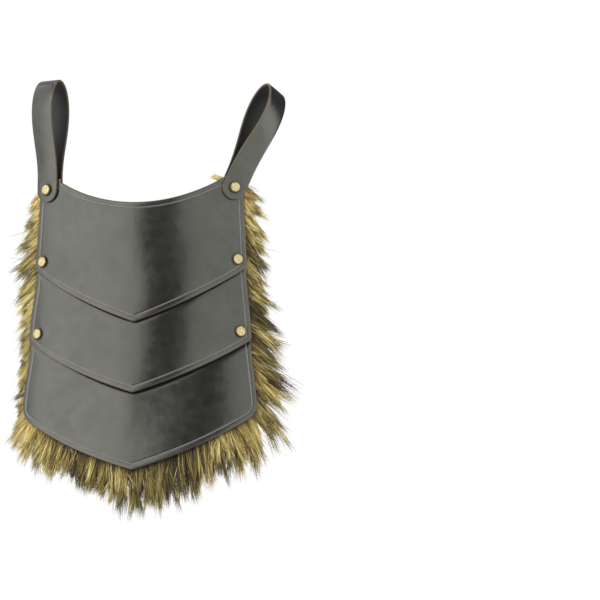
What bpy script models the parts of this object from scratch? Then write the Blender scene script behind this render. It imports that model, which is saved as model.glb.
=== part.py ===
"""A leather tasset: three overlapping lames riveted at their sides, two belt loops and a fur backing.

The front faces -Y and +Z is up. The origin is where the belt's middle runs between the two loops.
Places on the tasset are given in the lames' own pattern: across is the arc length from the centre
line, drop is the distance below the belt line, and out is the distance in front of the form that
the leather was moulded round. form_point turns these three into a point.
"""

import math
import random

import bmesh
import bpy
from mathutils import Matrix, Vector

MM = 0.001

# The form: the front of an upright cone that widens downwards.
FORM_RADIUS = 182.9 * MM  # at the belt line
FORM_FLARE = 0.0894  # radius gained per unit of drop

# Walls and the play between neighbours.
LEATHER = 2.8 * MM
STRAP_WALL = 2.6 * MM
FUR_WALL = 2.2 * MM
PLAY = 0.3 * MM

# The outline of the three lames together.
BODY_DROP = 361.8 * MM  # from the belt line to the lowest tip
SHOULDER_DROP = 76.0 * MM  # to the upper rivets
HIP_DROP = 300.0 * MM  # to where the side ends
SHOULDER_HALF_WIDTH = 111.0 * MM
HIP_HALF_WIDTH = 128.8 * MM
SIDE_BEND = 1.35  # the power by which the side swings out from the shoulder to the hip
SCOOP_DROP = 91.0 * MM  # to the lowest point of the scooped top edge
SCOOP_RISE = 39.0 * MM  # from there to the shoulder
LAP = 20.5 * MM  # how far a lame runs up behind the one above it

# Lengths are shares: tip and corner of BODY_DROP, rivet of the half width there, corner_radius of
# LAP, lift of LEATHER. Bow is how far a lower edge departs from a straight V, as a share of its rise.
LAME_COLUMNS = ("name", "tip", "corner", "bow", "rivet", "corner_radius", "lift")
LAMES = (
    ("upper_lame", 0.5876, 0.4334, 0.23, 0.912, 0.16, 0.5),
    ("middle_lame", 0.7855, 0.6349, 0.25, 0.900, 0.16, 1.1),
    ("lower_lame", 1.0000, 0.8402, 0.30, 0.0, 0.54, 0.0),
)
SHOULDER_CORNER = 10.0 * MM  # radius of the upper lame's top corners
SHOULDER_RIVET = 0.897  # the upper rivets, as a share of the half width there
RIVET_RISE = 8.3 * MM  # of the side rivets above their lame's corner
NEST_TOP = 10.0 * MM  # a lame lies close behind the next one up from here below that one's edge
RIDGE_SOFTNESS = 18.0 * MM  # rounds the V over which the lames bend at the centre line

# Rivets: a cap in front, a post and a cap behind.
CAP_RADIUS = 6.0 * MM
CAP_HEIGHT = 2.2 * MM
POST_RADIUS = 2.0 * MM

# Belt loops: one strap folded over, its two ends clamped round the lame and the fur.
STRAP_WIDTH = 25.0 * MM
LOOP_HEIGHT = 112.0 * MM  # from the rivet to the fold's outer top
LOOP_DEPTH = 30.0 * MM  # outside, front to back at its widest
LOOP_FLAT = 12.0 * MM  # the legs lie flat to here above the rivet
LOOP_WIDEST = 80.0 * MM  # height of the widest place above the rivet
# Side is -1 or 1, and lean and twist are degrees: outwards round the rivet, and of the fold round
# the strap's length.
LOOP_COLUMNS = ("name", "side", "lean", "twist")
LOOPS = (
    ("left_loop", -1, 1.1, 0.0),
    ("right_loop", 1, 24.0, 16.0),
)

# The fur: a backing with its pile pressed flat behind the leather, and locks round its rim.
FUR_INSET = 1.6 * MM  # the backing's rim inside the leather's
FUR_TOP_INSET = 5.0 * MM  # below the scooped edge
FUR_STEP = (-30.0 * MM, -8.0 * MM)  # where it steps back, from the middle lame's corner lap
FUR_REACH = 60.0 * MM  # the longest lock, past the leather's edge
LOCK_ROOT = 4.0 * MM  # how far a lock's root lies inside the rim
LOCK_WIDTH = 14.5 * MM
LOCK_DEPTH = 10.0 * MM
LOCK_SPACING = 13.0 * MM
LOCK_STAGGER = 0.14  # how much nearer or further a lock may start, as a share of FUR_WALL
LOCK_FLAT = 0.6  # a lock's depth where it is flattest, as a share of FUR_WALL
LOCK_ROOT_WIDTH = 0.42  # as a share of LOCK_WIDTH
LOCK_SIDES = 5
LOCK_SEED = 16

# Round the rim, from the wearer's shoulder on the -X side down, along the lower edge and up again.
# Edge 0 is the -X side, 1 and 2 the lower edge's two halves and 3 the +X side; along is the share of
# that edge. Reach is a share of FUR_REACH, and fan is the degrees from straight down towards +X.
FRINGE_COLUMNS = ("edge", "along", "reach", "fan")
FRINGE = (
    (0, 0.00, 0.44, -48),
    (0, 0.25, 0.76, -58),
    (0, 0.50, 0.72, -52),
    (0, 0.72, 0.60, -40),
    (0, 0.94, 0.40, -42),
    (1, 0.10, 0.72, -32),
    (1, 0.35, 0.80, -14),
    (1, 0.75, 0.80, -6),
    (2, 0.05, 0.88, 2),
    (2, 0.40, 1.02, 3),
    (2, 0.70, 0.90, 6),
    (2, 0.95, 0.92, 20),
    (3, 0.06, 0.90, 44),
    (3, 0.25, 0.86, 54),
    (3, 0.45, 0.78, 52),
    (3, 0.70, 0.62, 46),
    (3, 0.85, 0.56, 54),
    (3, 1.00, 0.40, 56),
)
# A lock's cross-sections from root to tip. Along is a share of its reach, width of LOCK_WIDTH, depth
# and back of LOCK_DEPTH, and bend of its curl; a depth of 0 lies within the backing's wall.
SECTION_COLUMNS = ("along", "width", "depth", "back", "bend")
LOCK_SECTIONS = (
    (0.10, 0.86, 0.00, 0.00, 0.0),
    (0.30, 1.00, 0.80, 0.32, 0.2),
    (0.62, 0.72, 0.72, 0.06, 0.6),
    (1.00, 0.07, 0.08, 0.00, 1.0),
)

# How finely each piece is divided.
LAME_HALF_COLUMNS = 10
LAME_ROWS = 6
CORNER_STEPS = 3
FUR_ROWS = 9
STRAP_COLUMNS = 3
RAMP_ROWS = 6
FOLD_ROWS = 9
END_ROWS = 3
RIVET_STEPS = 14
HOLE_SIDES = 10

# Name: colour, roughness, metallic.
FINISHES = {
    "leather": ((0.035, 0.036, 0.035), 0.42, 0.0),
    "strap_leather": ((0.032, 0.034, 0.034), 0.42, 0.0),
    "fur": ((0.34, 0.25, 0.12), 0.85, 0.0),
    "brass": ((0.72, 0.56, 0.27), 0.38, 1.0),
}


def rows_of(columns, table):
    """A table's rows as dictionaries."""
    return [dict(zip(columns, row)) for row in table]


def smooth_step(value, start, end):
    """0 before start, 1 after end, with an even slope between; start may be above end."""
    share = min(1.0, max(0.0, (value - start) / (end - start)))
    return share * share * (3 - 2 * share)


def between(value, points):
    """The value read from (x, y) points in order, on straight lines between them."""
    for (x0, y0), (x1, y1) in zip(points, points[1:]):
        if value <= x1:
            return y0 + (y1 - y0) * max(0.0, value - x0) / (x1 - x0)
    return points[-1][1]


def form_radius(drop):
    return FORM_RADIUS + FORM_FLARE * drop


def shoulder_across():
    return SHOULDER_RIVET * SHOULDER_HALF_WIDTH


def strap_middle():
    """How far out the middle between a loop's two legs lies."""
    front = PLAY + STRAP_WALL
    back = -(LEATHER + FUR_WALL + STRAP_WALL + 2 * PLAY)
    return (front + back) / 2


def form_axis_y():
    """The cone's axis lies so that the loops' middles are at Y = 0 beside the belt line."""
    turn = shoulder_across() / form_radius(SHOULDER_DROP)
    return (FORM_RADIUS + strap_middle()) * math.cos(turn)


def form_frame(across, drop):
    """(point on the form, direction across, direction down, outward normal)."""
    radius = form_radius(drop)
    turn = across / radius
    slope = math.atan(FORM_FLARE)
    ring = Vector((math.sin(turn), -math.cos(turn), 0))
    point = Vector((0, form_axis_y(), -drop)) + ring * radius
    sideways = Vector((math.cos(turn), math.sin(turn), 0))
    normal = ring * math.cos(slope) + Vector((0, 0, math.sin(slope)))
    down = ring * math.sin(slope) - Vector((0, 0, math.cos(slope)))
    return point, sideways, down, normal


def form_point(across, drop, out):
    point, _, _, normal = form_frame(across, drop)
    return point + normal * out


def half_width(drop):
    """Half the arc width of the leather."""
    share = (drop - SHOULDER_DROP) / (HIP_DROP - SHOULDER_DROP)
    grown = math.copysign(abs(share) ** SIDE_BEND, share)
    return SHOULDER_HALF_WIDTH + (HIP_HALF_WIDTH - SHOULDER_HALF_WIDTH) * grown


def corner_inset(share, width, radius):
    """How far a rounded corner draws the edge in, at a share of the half width."""
    past = max(0.0, abs(share) * width - (width - radius))
    return radius - math.sqrt(max(0.0, radius * radius - past * past))


def lower_edge(lame, share, rounded=True):
    """Drop of a lame's V-shaped lower edge, at a share of the half width."""
    corner, tip = lame["corner"] * BODY_DROP, lame["tip"] * BODY_DROP
    x = abs(share)
    drop = tip - (tip - corner) * (x - lame["bow"] * x * (1 - x))
    radius = lame["corner_radius"] * LAP
    return drop - (corner_inset(share, half_width(corner), radius) if rounded else 0.0)


def scoop_edge(share, rounded=True):
    """Drop of the upper lame's scooped top edge."""
    drop = SCOOP_DROP - SCOOP_RISE * share * share
    inset = corner_inset(share, half_width(SHOULDER_DROP), SHOULDER_CORNER) if rounded else 0.0
    return drop + inset


def upper_edge(index, share):
    """Drop of a lame's top edge: the scoop, or a line that laps behind the lame above."""
    if index == 0:
        return scoop_edge(share)
    above = rows_of(LAME_COLUMNS, LAMES)[index - 1]
    return lower_edge(above, share, rounded=False) - LAP


def soft_edge(lame, across):
    """The lower edge with its tip rounded off, for the bends that follow it."""
    width = half_width(lame["corner"] * BODY_DROP)
    return lower_edge(lame, math.hypot(across, RIDGE_SOFTNESS) / width, rounded=False)


def lame_out(index, across, drop):
    """How far out a lame's face lies. It nests one wall deeper where the lame above covers it."""
    lames = rows_of(LAME_COLUMNS, LAMES)
    lame = lames[index]
    out = 0.0
    if index > 0:
        covered = soft_edge(lames[index - 1], across) + NEST_TOP
        free = soft_edge(lame, across) - LAP
        out -= (LEATHER + PLAY) * smooth_step(drop, free, covered)
    above_tip = (soft_edge(lame, across) - drop) / (LAP + NEST_TOP)
    sideways = abs(across) / half_width(lame["corner"] * BODY_DROP)
    lifted = smooth_step(above_tip, 1.5, 0.0) * smooth_step(sideways, 0.75, 0.0)
    return out + lame["lift"] * LEATHER * lifted


def fur_out(drop):
    """How far out the fur backing's front face lies: behind one lame, lower down behind two."""
    lap_top = upper_edge(1, 1.0)
    deeper = smooth_step(drop, lap_top + FUR_STEP[0], lap_top + FUR_STEP[1])
    return -(LEATHER + PLAY) * (1 + deeper)


def clear_scene():
    for obj in list(bpy.data.objects):
        bpy.data.objects.remove(obj, do_unlink=True)


def new_collection(name):
    collection = bpy.data.collections.new(name)
    bpy.context.scene.collection.children.link(collection)
    return collection


def finish_material(name):
    colour, roughness, metallic = FINISHES[name]
    material = bpy.data.materials.new(name)
    material.use_nodes = True
    shader = material.node_tree.nodes["Principled BSDF"]
    shader.inputs["Base Color"].default_value = (*colour, 1.0)
    shader.inputs["Roughness"].default_value = roughness
    shader.inputs["Metallic"].default_value = metallic
    return material


def mesh_object(name, points, faces, collection, material=None):
    mesh = bpy.data.meshes.new(name)
    mesh.from_pydata(points, [], faces)
    if material:
        mesh.materials.append(material)
    obj = bpy.data.objects.new(name, mesh)
    collection.objects.link(obj)
    return obj


def sheet(name, rows, wall, offset, collection, material):
    """A leather or fur sheet: rows of points across it, given thickness by Solidify.

    The rows run from top to bottom and each from -X to +X, so that the faces look outwards.
    """
    count = len(rows[0])
    faces = [
        (i * count + j, (i + 1) * count + j, (i + 1) * count + j + 1, i * count + j + 1)
        for i in range(len(rows) - 1)
        for j in range(count - 1)
    ]
    points = [point for row in rows for point in row]
    obj = mesh_object(name, points, faces, collection, material)
    solid = obj.modifiers.new("thickness", "SOLIDIFY")
    solid.thickness = wall
    solid.offset = offset
    solid.use_even_offset = True
    return obj


def smooth(obj, degrees=35):
    obj.data.shade_smooth()
    obj.data.set_sharp_from_angle(angle=math.radians(degrees))


def column_shares(width, radius):
    """Shares of the half width at which a sheet has its columns, close together at the corners."""
    inner = 1 - radius / width
    half = [inner * i / LAME_HALF_COLUMNS for i in range(1, LAME_HALF_COLUMNS + 1)]
    turns = [math.pi / 2 * i / CORNER_STEPS for i in range(1, CORNER_STEPS + 1)]
    half += [inner + radius / width * math.sin(turn) for turn in turns]
    return [-share for share in reversed(half)] + [0.0] + half


def make_lame(index, collection, material):
    lame = rows_of(LAME_COLUMNS, LAMES)[index]
    radius = SHOULDER_CORNER if index == 0 else lame["corner_radius"] * LAP
    shares = column_shares(half_width(lame["corner"] * BODY_DROP), radius)
    rows = []
    for step in range(LAME_ROWS + 1):
        row = []
        for share in shares:
            top, low = upper_edge(index, share), lower_edge(lame, share)
            drop = top + (low - top) * step / LAME_ROWS
            across = share * half_width(drop)
            row.append(form_point(across, drop, lame_out(index, across, drop)))
        rows.append(row)
    return sheet(lame["name"], rows, LEATHER, -1, collection, material)


def rivet_place(level, side):
    """(across, drop) of a rivet: level 0 holds a loop, 1 and 2 join two lames."""
    if level == 0:
        return side * shoulder_across(), SHOULDER_DROP
    lame = rows_of(LAME_COLUMNS, LAMES)[level - 1]
    drop = lame["corner"] * BODY_DROP - RIVET_RISE
    return side * lame["rivet"] * half_width(drop), drop


def rivet_reach(level, side):
    """(out of the cap's underside in front, out of the cap's upper side behind)."""
    across, drop = rivet_place(level, side)
    back = fur_out(drop) - FUR_WALL - PLAY
    if level == 0:
        return STRAP_WALL + 2 * PLAY, back - STRAP_WALL - PLAY
    return lame_out(level - 1, across, drop) + PLAY, back


def place_on_form(obj, across, drop, out):
    """Puts obj at that point of the form with its +Z along the outward normal."""
    _, sideways, down, normal = form_frame(across, drop)
    turn = Matrix((sideways, -down, normal)).transposed()
    obj.matrix_world = Matrix.Translation(form_point(across, drop, out)) @ turn.to_4x4()


def make_rivet(name, level, side, collection, material):
    """A turned rivet: a low dome, the post and a flatter cap behind."""
    front, back = rivet_reach(level, side)
    depth = front - back
    profile = (
        (0.0, CAP_HEIGHT),
        (0.50 * CAP_RADIUS, 0.94 * CAP_HEIGHT),
        (0.86 * CAP_RADIUS, 0.66 * CAP_HEIGHT),
        (CAP_RADIUS, 0.18 * CAP_HEIGHT),
        (0.94 * CAP_RADIUS, 0.0),
        (POST_RADIUS, 0.0),
        (POST_RADIUS, -depth),
        (0.94 * CAP_RADIUS, -depth),
        (CAP_RADIUS, -depth - 0.2 * CAP_HEIGHT),
        (0.80 * CAP_RADIUS, -depth - 0.6 * CAP_HEIGHT),
        (0.0, -depth - 0.7 * CAP_HEIGHT),
    )
    mesh = bpy.data.meshes.new(name)
    edges = [(i, i + 1) for i in range(len(profile) - 1)]
    mesh.from_pydata([(radius, 0, height) for radius, height in profile], edges, [])
    mesh.materials.append(material)
    obj = bpy.data.objects.new(name, mesh)
    collection.objects.link(obj)
    turned = obj.modifiers.new("turned", "SCREW")
    turned.steps = turned.render_steps = RIVET_STEPS
    turned.use_merge_vertices = True
    turned.merge_threshold = 0.00001
    turned.use_smooth_shade = True
    place_on_form(obj, *rivet_place(level, side), front)
    return obj


def make_hole_cutter(level, side, helpers):
    """A cylinder round a rivet's post, longer than the post."""
    front, back = rivet_reach(level, side)
    length = front - back + 4 * CAP_HEIGHT
    bm = bmesh.new()
    bmesh.ops.create_cone(
        bm,
        cap_ends=True,
        segments=HOLE_SIDES,
        radius1=POST_RADIUS + PLAY,
        radius2=POST_RADIUS + PLAY,
        depth=length,
    )
    mesh = bpy.data.meshes.new("hole")
    bm.to_mesh(mesh)
    bm.free()
    cutter = bpy.data.objects.new(f"hole_{level}_{side}", mesh)
    helpers.objects.link(cutter)
    hide(cutter)
    place_on_form(cutter, *rivet_place(level, side), (front + back) / 2)
    return cutter


def hide(helper):
    helper.hide_render = True
    helper.display_type = "WIRE"


def cut_holes(obj, cutters):
    for cutter in cutters:
        cut = obj.modifiers.new("rivet_hole", "BOOLEAN")
        cut.operation = "DIFFERENCE"
        cut.object = cutter


def loop_path():
    """The strap's middle line as (height above the rivet, out, half width) from end to end."""
    middle = strap_middle()
    legs = (PLAY + STRAP_WALL / 2) - middle
    widest = (LOOP_DEPTH - STRAP_WALL) / 2
    top = LOOP_HEIGHT - STRAP_WALL / 2
    end = STRAP_WIDTH / 2
    front = []
    for i in range(END_ROWS):
        turn = math.pi / 2 * (i + 0.4) / END_ROWS
        front.append((-end * math.cos(turn), legs, end * math.sin(turn)))
    front.append((0.0, legs, end))
    for i in range(RAMP_ROWS):
        height = LOOP_FLAT + (LOOP_WIDEST - LOOP_FLAT) * i / RAMP_ROWS
        spread = 0.5 - 0.5 * math.cos(math.pi * i / RAMP_ROWS)
        front.append((height, legs + (widest - legs) * spread, end))
    fold = []
    for i in range(FOLD_ROWS + 1):
        turn = math.pi * i / FOLD_ROWS
        height = LOOP_WIDEST + (top - LOOP_WIDEST) * math.sin(turn)
        fold.append((height, widest * math.cos(turn), end))
    back = [(height, -half_depth, half) for height, half_depth, half in reversed(front)]
    return [(height, middle + depth, half) for height, depth, half in front + fold + back]


def make_loop(loop, collection, material):
    """A belt loop that leans outwards round its rivet and twists towards its fold."""
    side = loop["side"]
    lean = math.radians(loop["lean"])
    rivet_across, rivet_drop = rivet_place(0, side)
    middle = strap_middle()
    rows = []
    for height, out, half in loop_path():
        twist = math.radians(loop["twist"]) * smooth_step(height, 0.0, LOOP_WIDEST)
        depth = out - middle
        row = []
        for j in range(STRAP_COLUMNS + 1):
            width = half * (2 * j / STRAP_COLUMNS - 1)
            turned = width * math.cos(twist) + side * depth * math.sin(twist)
            turned_out = depth * math.cos(twist) - side * width * math.sin(twist)
            across = turned * math.cos(lean) + side * height * math.sin(lean)
            up = height * math.cos(lean) - side * turned * math.sin(lean)
            row.append(form_point(rivet_across + across, rivet_drop - up, middle + turned_out))
        rows.append(row)
    return sheet(loop["name"], rows[::-1], STRAP_WALL, 0, collection, material)


def fur_half_width(drop):
    return half_width(drop) - FUR_INSET


def fur_lower_edge(share):
    lowest = rows_of(LAME_COLUMNS, LAMES)[-1]
    return lower_edge(lowest, share) - FUR_INSET


def fur_upper_edge(share):
    return scoop_edge(share) + FUR_TOP_INSET


def make_fur_backing(collection, material):
    lowest = rows_of(LAME_COLUMNS, LAMES)[-1]
    radius = lowest["corner_radius"] * LAP
    shares = column_shares(half_width(HIP_DROP), radius)
    rows = []
    for step in range(FUR_ROWS + 1):
        row = []
        for share in shares:
            top, low = fur_upper_edge(share), fur_lower_edge(share)
            drop = top + (low - top) * step / FUR_ROWS
            row.append(form_point(share * fur_half_width(drop), drop, fur_out(drop)))
        rows.append(row)
    return sheet("fur_backing", rows, FUR_WALL, -1, collection, material)


def rim_place(edge, along):
    """(across, drop) on the backing's rim."""
    top = SHOULDER_DROP + STRAP_WIDTH / 2
    corner = fur_lower_edge(1.0)
    if edge in (0, 3):
        drop = top + (corner - top) * (along if edge == 0 else 1 - along)
        return (-1 if edge == 0 else 1) * fur_half_width(drop), drop
    share = along - 1 if edge == 1 else along
    drop = fur_lower_edge(share)
    return share * fur_half_width(drop), drop


def fringe_places():
    """(across, drop, reach, fan) of each lock, evenly spaced round the rim."""
    stations = [(r["edge"] + r["along"], r["reach"], r["fan"]) for r in rows_of(FRINGE_COLUMNS, FRINGE)]
    reaches = [(at, reach * FUR_REACH) for at, reach, _ in stations]
    fans = [(at, fan) for at, _, fan in stations]
    places = []
    for edge in range(4):
        ends = [Vector(rim_place(edge, along)) for along in (0.0, 1.0)]
        count = max(1, round((ends[1] - ends[0]).length / LOCK_SPACING))
        for i in range(count):
            along = (i + 0.5) / count
            at = edge + along
            places.append((*rim_place(edge, along), between(at, reaches), between(at, fans)))
    return places


def lock_rings(across, drop, reach, fan, curl, stagger):
    """(centre, heading's turn, half width, half depth) of a lock's cross-sections."""
    _, sideways, down, normal = form_frame(across, drop)
    flat = LOCK_FLAT * FUR_WALL / 2
    inner = Vector((across, drop)) - Vector((math.sin(fan), math.cos(fan))) * LOCK_ROOT
    root = form_point(inner.x, inner.y, fur_out(inner.y) - FUR_WALL / 2 + stagger)
    rings = [(root, fan, LOCK_ROOT_WIDTH * LOCK_WIDTH / 2, flat)]
    start = form_point(across, drop, fur_out(drop) - FUR_WALL / 2 + stagger)
    for section in rows_of(SECTION_COLUMNS, LOCK_SECTIONS):
        turn = fan + curl * section["bend"]
        heading = sideways * math.sin(turn) + down * math.cos(turn)
        centre = start + heading * (reach * section["along"]) - normal * (section["back"] * LOCK_DEPTH)
        half_depth = max(flat, section["depth"] * LOCK_DEPTH / 2)
        rings.append((centre, turn, section["width"] * LOCK_WIDTH / 2, half_depth))
    return rings


def make_lock(name, across, drop, reach, fan, chance, helpers):
    """A lock of fur: flat at its root inside the backing, full past the leather and pointed."""
    fan = math.radians(fan + chance.uniform(-7, 7))
    reach *= chance.uniform(0.82, 1.04)
    curl = math.radians(chance.uniform(-14, 14))
    stagger = chance.uniform(-LOCK_STAGGER, LOCK_STAGGER) * FUR_WALL
    _, sideways, down, normal = form_frame(across, drop)
    bm = bmesh.new()
    rings = []
    for centre, turn, half_width, half_depth in lock_rings(across, drop, reach, fan, curl, stagger):
        broad = sideways * math.cos(turn) - down * math.sin(turn)
        ring = []
        for k in range(LOCK_SIDES):
            angle = 2 * math.pi * k / LOCK_SIDES
            step = broad * (math.cos(angle) * half_width) + normal * (math.sin(angle) * half_depth)
            ring.append(bm.verts.new(centre + step))
        rings.append(ring)
    for ring, following in zip(rings, rings[1:]):
        for k in range(LOCK_SIDES):
            after = (k + 1) % LOCK_SIDES
            bm.faces.new((ring[k], ring[after], following[after], following[k]))
    bm.faces.new(rings[0])
    bm.faces.new(rings[-1])
    bmesh.ops.recalc_face_normals(bm, faces=bm.faces)
    mesh = bpy.data.meshes.new(name)
    bm.to_mesh(mesh)
    bm.free()
    lock = bpy.data.objects.new(name, mesh)
    helpers.objects.link(lock)
    hide(lock)


def make_fur(collection, helpers, material):
    """The backing with every lock joined to it."""
    locks = bpy.data.collections.new("fur_locks")
    helpers.children.link(locks)
    chance = random.Random(LOCK_SEED)
    for i, place in enumerate(fringe_places()):
        make_lock(f"lock_{i}", *place, chance, locks)
    backing = make_fur_backing(collection, material)
    join = backing.modifiers.new("locks", "BOOLEAN")
    join.operation = "UNION"
    join.operand_type = "COLLECTION"
    join.collection = locks
    return backing


def main():
    clear_scene()
    collection = new_collection("tasset")
    helpers = new_collection("helpers")
    materials = {name: finish_material(name) for name in FINISHES}
    root = bpy.data.objects.new("tasset_frame", None)
    collection.objects.link(root)

    cutters = {
        (level, side): make_hole_cutter(level, side, helpers)
        for level in range(3)
        for side in (-1, 1)
    }
    for index in range(len(LAMES)):
        lame = make_lame(index, collection, materials["leather"])
        levels = [level for level in (index, index + 1) if level < 3]
        cut_holes(lame, [cutters[level, side] for level in levels for side in (-1, 1)])
        smooth(lame)
    for row in rows_of(LOOP_COLUMNS, LOOPS):
        loop = make_loop(row, collection, materials["strap_leather"])
        cut_holes(loop, [cutters[0, row["side"]]])
        smooth(loop)
    for level, row in enumerate(("shoulder", "upper", "lower")):
        for side, hand in ((-1, "left"), (1, "right")):
            make_rivet(f"{row}_rivet_{hand}", level, side, collection, materials["brass"])
    fur = make_fur(collection, helpers, materials["fur"])
    cut_holes(fur, cutters.values())
    smooth(fur, 60)
    for obj in collection.objects:
        if obj is not root:
            obj.parent = root


main()
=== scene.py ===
import math

import bmesh
import bpy
import numpy as np
from mathutils import Matrix, Vector


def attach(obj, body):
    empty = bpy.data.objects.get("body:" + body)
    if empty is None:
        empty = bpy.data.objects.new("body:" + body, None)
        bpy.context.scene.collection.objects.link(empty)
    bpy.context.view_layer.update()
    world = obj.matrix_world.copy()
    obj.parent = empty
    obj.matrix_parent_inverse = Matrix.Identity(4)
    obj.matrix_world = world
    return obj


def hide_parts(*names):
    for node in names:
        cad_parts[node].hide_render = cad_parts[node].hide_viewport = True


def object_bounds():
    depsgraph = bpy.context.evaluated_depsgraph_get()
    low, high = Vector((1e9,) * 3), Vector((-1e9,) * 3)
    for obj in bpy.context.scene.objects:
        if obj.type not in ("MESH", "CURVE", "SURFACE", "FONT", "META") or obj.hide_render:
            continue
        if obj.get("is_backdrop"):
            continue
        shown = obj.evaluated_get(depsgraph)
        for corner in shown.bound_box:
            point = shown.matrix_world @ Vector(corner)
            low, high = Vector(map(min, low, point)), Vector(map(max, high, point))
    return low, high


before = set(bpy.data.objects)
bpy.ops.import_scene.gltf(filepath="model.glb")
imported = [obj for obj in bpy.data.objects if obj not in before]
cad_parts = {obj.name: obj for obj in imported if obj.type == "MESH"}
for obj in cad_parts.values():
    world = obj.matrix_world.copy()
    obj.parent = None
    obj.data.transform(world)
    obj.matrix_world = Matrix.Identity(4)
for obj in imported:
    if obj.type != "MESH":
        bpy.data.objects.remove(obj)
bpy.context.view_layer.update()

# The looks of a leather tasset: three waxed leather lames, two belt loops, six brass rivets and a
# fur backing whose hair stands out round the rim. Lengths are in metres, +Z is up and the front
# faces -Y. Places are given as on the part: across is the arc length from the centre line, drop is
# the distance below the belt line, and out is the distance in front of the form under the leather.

MM = 0.001


def rows_of(columns, *rows):
    """A table's rows as dictionaries."""
    return [dict(zip(columns, row)) for row in rows]


# The form: the front of an upright cone that widens downwards.
FORM_RADIUS = 182.9 * MM  # at the belt line
FORM_FLARE = 0.0894  # radius gained per unit of drop

LEATHER = 2.8 * MM
STRAP_WALL = 2.6 * MM
FUR_WALL = 2.2 * MM
PLAY = 0.3 * MM

BODY_DROP = 361.8 * MM
SHOULDER_DROP = 76.0 * MM
HIP_DROP = 300.0 * MM
SHOULDER_HALF_WIDTH = 111.0 * MM
HIP_HALF_WIDTH = 128.8 * MM
SIDE_BEND = 1.35
SCOOP_DROP = 91.0 * MM
SCOOP_RISE = 39.0 * MM
LAP = 20.5 * MM

# As shares: tip and corner of BODY_DROP, rivet of the half width there, corner_radius of LAP, lift
# of LEATHER. Bow is how far a lower edge departs from a straight V.
LAMES = rows_of(
    ("name", "tip", "corner", "bow", "rivet", "corner_radius", "lift"),
    ("upper_lame", 0.5876, 0.4334, 0.23, 0.912, 0.16, 0.5),
    ("middle_lame", 0.7855, 0.6349, 0.25, 0.900, 0.16, 1.1),
    ("lower_lame", 1.0000, 0.8402, 0.30, 0.0, 0.54, 0.0),
)
SHOULDER_CORNER = 10.0 * MM
SHOULDER_RIVET = 0.897
RIVET_RISE = 8.3 * MM
NEST_TOP = 10.0 * MM
RIDGE_SOFTNESS = 18.0 * MM

CAP_RADIUS = 6.0 * MM
CAP_HEIGHT = 2.2 * MM
POST_RADIUS = 2.0 * MM

STRAP_WIDTH = 25.0 * MM
LOOP_HEIGHT = 112.0 * MM
LOOP_DEPTH = 30.0 * MM
LOOP_FLAT = 12.0 * MM
LOOP_WIDEST = 80.0 * MM
LOOPS = rows_of(
    ("name", "side", "lean", "twist"),
    ("left_loop", -1, 1.1, 0.0),
    ("right_loop", 1, 24.0, 16.0),
)

FUR_INSET = 1.6 * MM
FUR_TOP_INSET = 5.0 * MM
FUR_STEP = (-30.0 * MM, -8.0 * MM)
FUR_REACH = 60.0 * MM

# The surface of the leather, which is finer than the solids under it.
EDGE_ROLL = 1.2 * MM  # radius of the lames' burnished edges
STRAP_ROLL = 0.6 * MM
GROOVE_INSET = 5.5 * MM  # a line is tooled this far inside each edge that shows
GROOVE_WIDTH = 0.45 * MM
GROOVE_DEPTH = 0.4 * MM
DIMPLE_DEPTH = 0.25 * MM  # where a rivet presses the leather in
DIMPLE_RADII = (9.0 * MM, 4.8 * MM)  # from none to full, round a rivet's axis
HALO_RADII = (8.5 * MM, 5.4 * MM)  # wax and dirt dull it there
CREASE_DEPTH = 1.1 * MM  # pressed in just below the edge of the lame above
CREASE_WIDTH = 4.6 * MM
RIPPLE = 0.22 * MM
RIPPLE_LENGTHS = (29.0 * MM, 23.0 * MM)  # across and down, for each radian
RIPPLE_PHASES = (2.1, 1.3)  # radians from lame to lame
RIPPLE_START = (4.0 * MM, 16.0 * MM)  # it grows over these distances from an edge
# How much flatter than the form a lame looks on either side of a line: where the line starts and how
# far it drifts, the degrees turned back on its -X and +X sides, over what width, and from what share
# of its height to what share. EVENING is the share of its steps and lift that its look leaves out.
FLATNESS = rows_of(
    ("centre", "drift", "left", "right", "width", "start", "full"),
    (-8.0 * MM, 0.0, 0.0, 1.9, 12.0 * MM, 0.25, 0.85),
    (-8.0 * MM, 0.0, 0.0, 1.9, 12.0 * MM, -0.2, 0.0),
    (14.0 * MM, -25.0 * MM, 2.0, 13.9, 72.0 * MM, -0.2, 0.0),
)
EVENING = 0.9
# Millimetres inside an edge at which the leather has a row of vertices, closest at the tooled line.
EDGE_STATIONS = MM * np.array((
    0, 0.1, 0.3, 0.6, 1.0, 1.8, 3.0, 4.4, 4.95, 5.25, 5.5, 5.75, 6.05, 6.8, 8.5, 11.0
))
LAME_COLUMN_COUNT, LAME_ROW_COUNT = 128, 36
SLANT_LIMIT = 1.4

# Steps along a strap: round its end, up the flat stretch, up to its widest and over the fold.
END_STEPS, FLAT_STEPS, RISE_STEPS, FOLD_STEPS = 14, 6, 26, 33
END_START = 0.04  # radians round the end from its tip
FLAT_START = 0.8 * MM

# A rivet's cap in shares of CAP_RADIUS and CAP_HEIGHT: a dome that is cut off at DOME_TURN, then the
# rim, outwards and down, and the cap behind.
DOME_RADIUS, DOME_FOOT, DOME_RISE = 0.84, 0.62, 0.20
DOME_TURN = 1.25  # radians
CAP_RIM = (
    (0.83, 0.56), (0.87, 0.54), (0.90, 0.58), (0.95, 0.55),
    (0.985, 0.42), (1.0, 0.26), (0.98, 0.08), (0.93, 0.0),
)
REAR_CAP = ((0.93, 0.0), (0.98, 0.08), (1.0, 0.22), (0.94, 0.42), (0.6, 0.62), (0.25, 0.68), (0.0, 0.69))

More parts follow.
